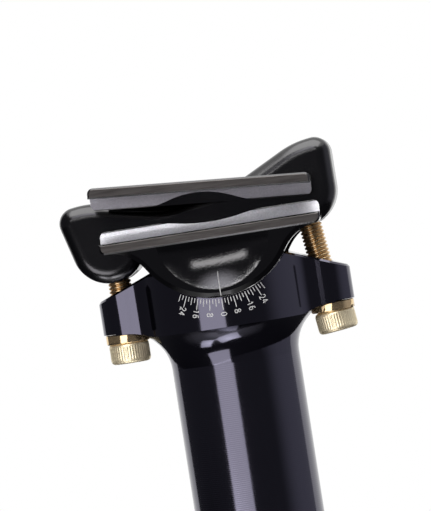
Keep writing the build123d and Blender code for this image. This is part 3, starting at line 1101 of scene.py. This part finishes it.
def level_rings(radii, sides, height):
    """Points of level circles round the upright axis, at radius times cosine and sine, and their faces."""
    angle = np.linspace(0, 2 * pi, sides, endpoint=False)
    x = np.outer(radii, np.cos(angle))
    y = np.outer(radii, np.sin(angle))
    points = np.stack([x, y, np.full_like(x, height)], axis=-1)
    return points, grid_faces(len(radii), sides, round_columns=True)


# Floor: its grey, and the distances from the upright axis over which it fades to white
FLOOR_GREY = (0.78, 0.78, 0.78, 1.0)
FLOOR_ROUGHNESS = 0.9
FLOOR_SHINE = 0.1
FLOOR_FADE = (0.25, 0.6)
FLOOR_RADIUS = 0.62
FLOOR_RINGS = 12
FLOOR_SIDES = 96


def add_floor(height):
    """A pale round floor that fades to the white background at its rim."""
    sheet = FinishSheet("pale_floor")
    sheet.set(Base_Color=FLOOR_GREY, Roughness=FLOOR_ROUGHNESS, Specular_IOR_Level=FLOOR_SHINE)
    rim = sheet.smooth_step(sheet.upright_distance(), *FLOOR_FADE)
    sheet.cover(sheet.math("MULTIPLY", rim, sheet.seen_directly()), sheet.add("ShaderNodeEmission"))
    points, faces = level_rings(np.linspace(0.0, FLOOR_RADIUS, FLOOR_RINGS), FLOOR_SIDES, height)
    return add_stage_mesh("floor", points, faces, sheet.material)


# Screen: its glow rises from the first level to the second between two distances across it
SCREEN_BLACK = (0.03, 0.03, 0.035, 1.0)
SCREEN_GLOW = (0.86, 0.86, 1.0, 1.0)
SCREEN_ACROSS = (0.94, 0.342, 0.0)
SCREEN_RISE = (0.85, 1.7)
SCREEN_LEVELS = (0.065, 0.36)
SCREEN_RADIUS = 1.7
SCREEN_TURN = (radians(-128.0), radians(125.0))
SCREEN_EDGES = np.array([-0.8, 1.9])
SCREEN_STEPS = 64


def dark_finish(name):
    """A black with no shine, as a sheet."""
    sheet = FinishSheet(name)
    sheet.set(Base_Color=SCREEN_BLACK, Roughness=1.0, Specular_IOR_Level=0.0)
    return sheet


def add_screen(height):
    """A curved dark screen round the camera's side, which keeps the gloss of black metal black.

    Its points lie at one radius, turned from the camera's side, at two heights over the floor.
    """
    sheet = dark_finish("dark_screen")
    sheet.set(Emission_Color=SCREEN_GLOW)
    across = sheet.along(sheet.object_coordinates(), SCREEN_ACROSS)
    sheet.vary(Emission_Strength=sheet.smooth_step(across, *SCREEN_RISE, *SCREEN_LEVELS))
    turn = np.linspace(*SCREEN_TURN, SCREEN_STEPS)
    level = height + SCREEN_EDGES[:, None]
    coordinates = np.broadcast_arrays(SCREEN_RADIUS * np.sin(turn), -SCREEN_RADIUS * np.cos(turn), level)
    faces = grid_faces(len(SCREEN_EDGES), SCREEN_STEPS)
    screen = add_stage_mesh("dark_screen", np.stack(coordinates, axis=-1), faces, sheet.material)
    screen.visible_camera = False


# Low card: how clear it is changes from the first share to the second between two distances from the axis
CARD_RADII = (0.03, 0.75)
CARD_LIFT = 0.004
CARD_SIDES = 64
CARD_BESIDE_TUBE = (0.03, 0.065, 1.0, 0.4)
CARD_ROUND_TUBE = (0.04, 0.16, 1.0, 0.0)


def add_low_card(height):
    """A dark card over the floor that only the gloss sees, so that the neck's underside stays black."""
    sheet = dark_finish("dark_card")
    distance = sheet.upright_distance()
    beside = sheet.smooth_step(distance, *CARD_BESIDE_TUBE)
    around = sheet.smooth_step(distance, *CARD_ROUND_TUBE)
    sheet.cover(sheet.math("MULTIPLY", beside, around), sheet.add("ShaderNodeBsdfTransparent"))
    points, faces = level_rings(CARD_RADII, CARD_SIDES, height + CARD_LIFT)
    card = add_stage_mesh("dark_card", points, faces, sheet.material)
    card.visible_camera = False
    card.visible_diffuse = False
    card.visible_shadow = False


def camera_line(stage):
    """Direction from the rails' middle to the camera."""
    level = cos(stage.elevation)
    return np.array([sin(stage.azimuth) * level, -cos(stage.azimuth) * level, sin(stage.elevation)])


# Arch: its glow, its distance from the rails' middle, and its angles off and round the mirrored camera line
ARCH_GLOW = 5.5
ARCH_DISTANCE = 1.2
ARCH_OFF_LINE = (radians(38.0), radians(45.0))
ARCH_ROUND_LINE = (radians(30.0), radians(140.0))
ARCH_ROWS = 4
ARCH_STEPS = 64


def add_arch(stage):
    """A clear glowing arch over the camera, for the bright line along the rim of the lower clamp's dish.

    Its points lie at a fixed distance from the rails' middle, at an angle from the camera's line mirrored in
    the clamp's face, and turned round that line from the front over the top to the rear.
    """
    sheet = FinishSheet("bright_arch")
    glow = sheet.add("ShaderNodeEmission")
    glow.inputs["Strength"].default_value = ARCH_GLOW
    clear = sheet.add("ShaderNodeBsdfTransparent")
    both = sheet.fill(sheet.add("ShaderNodeAddShader"), glow.outputs["Emission"], clear.outputs["BSDF"])
    sheet.join(both.outputs["Shader"], sheet.surface)
    off_line = np.linspace(*ARCH_OFF_LINE, ARCH_ROWS)[:, None, None]
    round_line = np.linspace(*ARCH_ROUND_LINE, ARCH_STEPS)[None, :, None]
    mirrored = camera_line(stage) * (-1, 1, -1)
    outward = np.cos(round_line) * FORWARD + np.sin(round_line) * UPWARD
    points = RAILS + ARCH_DISTANCE * (np.cos(off_line) * mirrored + np.sin(off_line) * outward)
    arch = add_stage_mesh("bright_arch", points, grid_faces(ARCH_ROWS, ARCH_STEPS), sheet.material)
    arch.visible_camera = False
    arch.visible_shadow = False
    return arch


# World: its light where it isn't seen
WORLD_LEVEL = 0.6


def set_world(scene):
    """White where it is seen, and a plain level of light elsewhere."""
    scene.world = bpy.data.worlds.new("white_studio")
    sheet = NodeSheet(scene.world)
    background = sheet.tree.nodes["Background"]
    background.inputs["Color"].default_value = (*WHITE, 1.0)
    sheet.join(sheet.spread(sheet.seen_directly(), WORLD_LEVEL, 1.0), background.inputs["Strength"])


# Camera: the image's size in points, the width its lens is reckoned for, and the nearest it sees
IMAGE_WIDTH = 431
IMAGE_HEIGHT = 511
SENSOR_WIDTH = 36.0
NEAREST_SEEN = 0.01


def add_camera(stage):
    """A long lens that puts the rails' middle at its place in the image."""
    data = bpy.data.cameras.new("camera")
    camera = bpy.data.objects.new("camera", data)
    bpy.context.scene.collection.objects.link(camera)
    back = Vector(camera_line(stage))
    turn = back.to_track_quat("Z", "Y").to_matrix() @ Matrix.Rotation(stage.roll, 3, "Z")
    right = (IMAGE_WIDTH / 2 - stage.rails_right) / stage.image_scale
    down = (IMAGE_HEIGHT / 2 - stage.rails_down) / stage.image_scale
    middle = Vector(RAILS) + turn @ Vector((right, -down, 0))
    camera.matrix_world = Matrix.Translation(middle + stage.distance * back) @ turn.to_4x4()
    data.sensor_fit = "HORIZONTAL"
    data.sensor_width = SENSOR_WIDTH
    data.lens = SENSOR_WIDTH * stage.image_scale * stage.distance / IMAGE_WIDTH
    data.clip_start = NEAREST_SEEN
    bpy.context.scene.camera = camera


class SEATPOST_OT_stage(bpy.types.Operator):
    """Set the floor, dark screen and card, white world, lamps, bright arch and camera"""

    bl_idname = "seatpost.stage"
    bl_label = "Stage"

    def execute(self, context):
        scene = context.scene
        scene.view_settings.view_transform = "Standard"
        floor_height = cad_box[0][2]
        lit = {**frame["nodes"], "floor": add_floor(floor_height)}
        add_screen(floor_height)
        add_low_card(floor_height)
        set_world(scene)
        for name, lamp in LAMPS.items():
            lamp_object = add_lamp(name, lamp)
            if lamp.spares:
                aim(lamp_object, [lit[spared] for spared in lamp.spares], "EXCLUDE")
        aim(add_arch(scene.seatpost_stage), [lit["lower_clamp"]], "INCLUDE")
        add_camera(scene.seatpost_stage)
        return {"FINISHED"}


OPERATORS = (
    SEATPOST_OT_post, SEATPOST_OT_clamps, SEATPOST_OT_fastenings, SEATPOST_OT_scale, SEATPOST_OT_stage,
)


class SEATPOST_PT_panel(bpy.types.Panel):
    """Sizes, colours and steps of the seatpost"""

    bl_idname = "SEATPOST_PT_panel"
    bl_label = "Seatpost"
    bl_space_type = "VIEW_3D"
    bl_region_type = "UI"
    bl_category = "Seatpost"

    def draw(self, context):
        for name, group in SETTINGS.items():
            box = self.layout.box()
            for field in group.__annotations__:
                box.prop(getattr(context.scene, name), field)
        for operator in OPERATORS:
            self.layout.operator(operator.bl_idname)


CLASSES = (*SETTINGS.values(), *OPERATORS, SEATPOST_PT_panel)


def register():
    """Make the classes and the scene's settings known to Blender."""
    for entry in CLASSES:
        bpy.utils.register_class(entry)
    for name, group in SETTINGS.items():
        setattr(bpy.types.Scene, name, PointerProperty(type=group))


def unregister():
    """Take the settings and the classes away again."""
    for name in SETTINGS:
        delattr(bpy.types.Scene, name)
    for entry in reversed(CLASSES):
        bpy.utils.unregister_class(entry)


def main():
    """Dress the part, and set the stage."""
    register()
    bpy.ops.seatpost.post()
    bpy.ops.seatpost.clamps()
    bpy.ops.seatpost.fastenings()
    bpy.ops.seatpost.scale()
    bpy.ops.seatpost.stage()


if __name__ == "__main__":
    main()
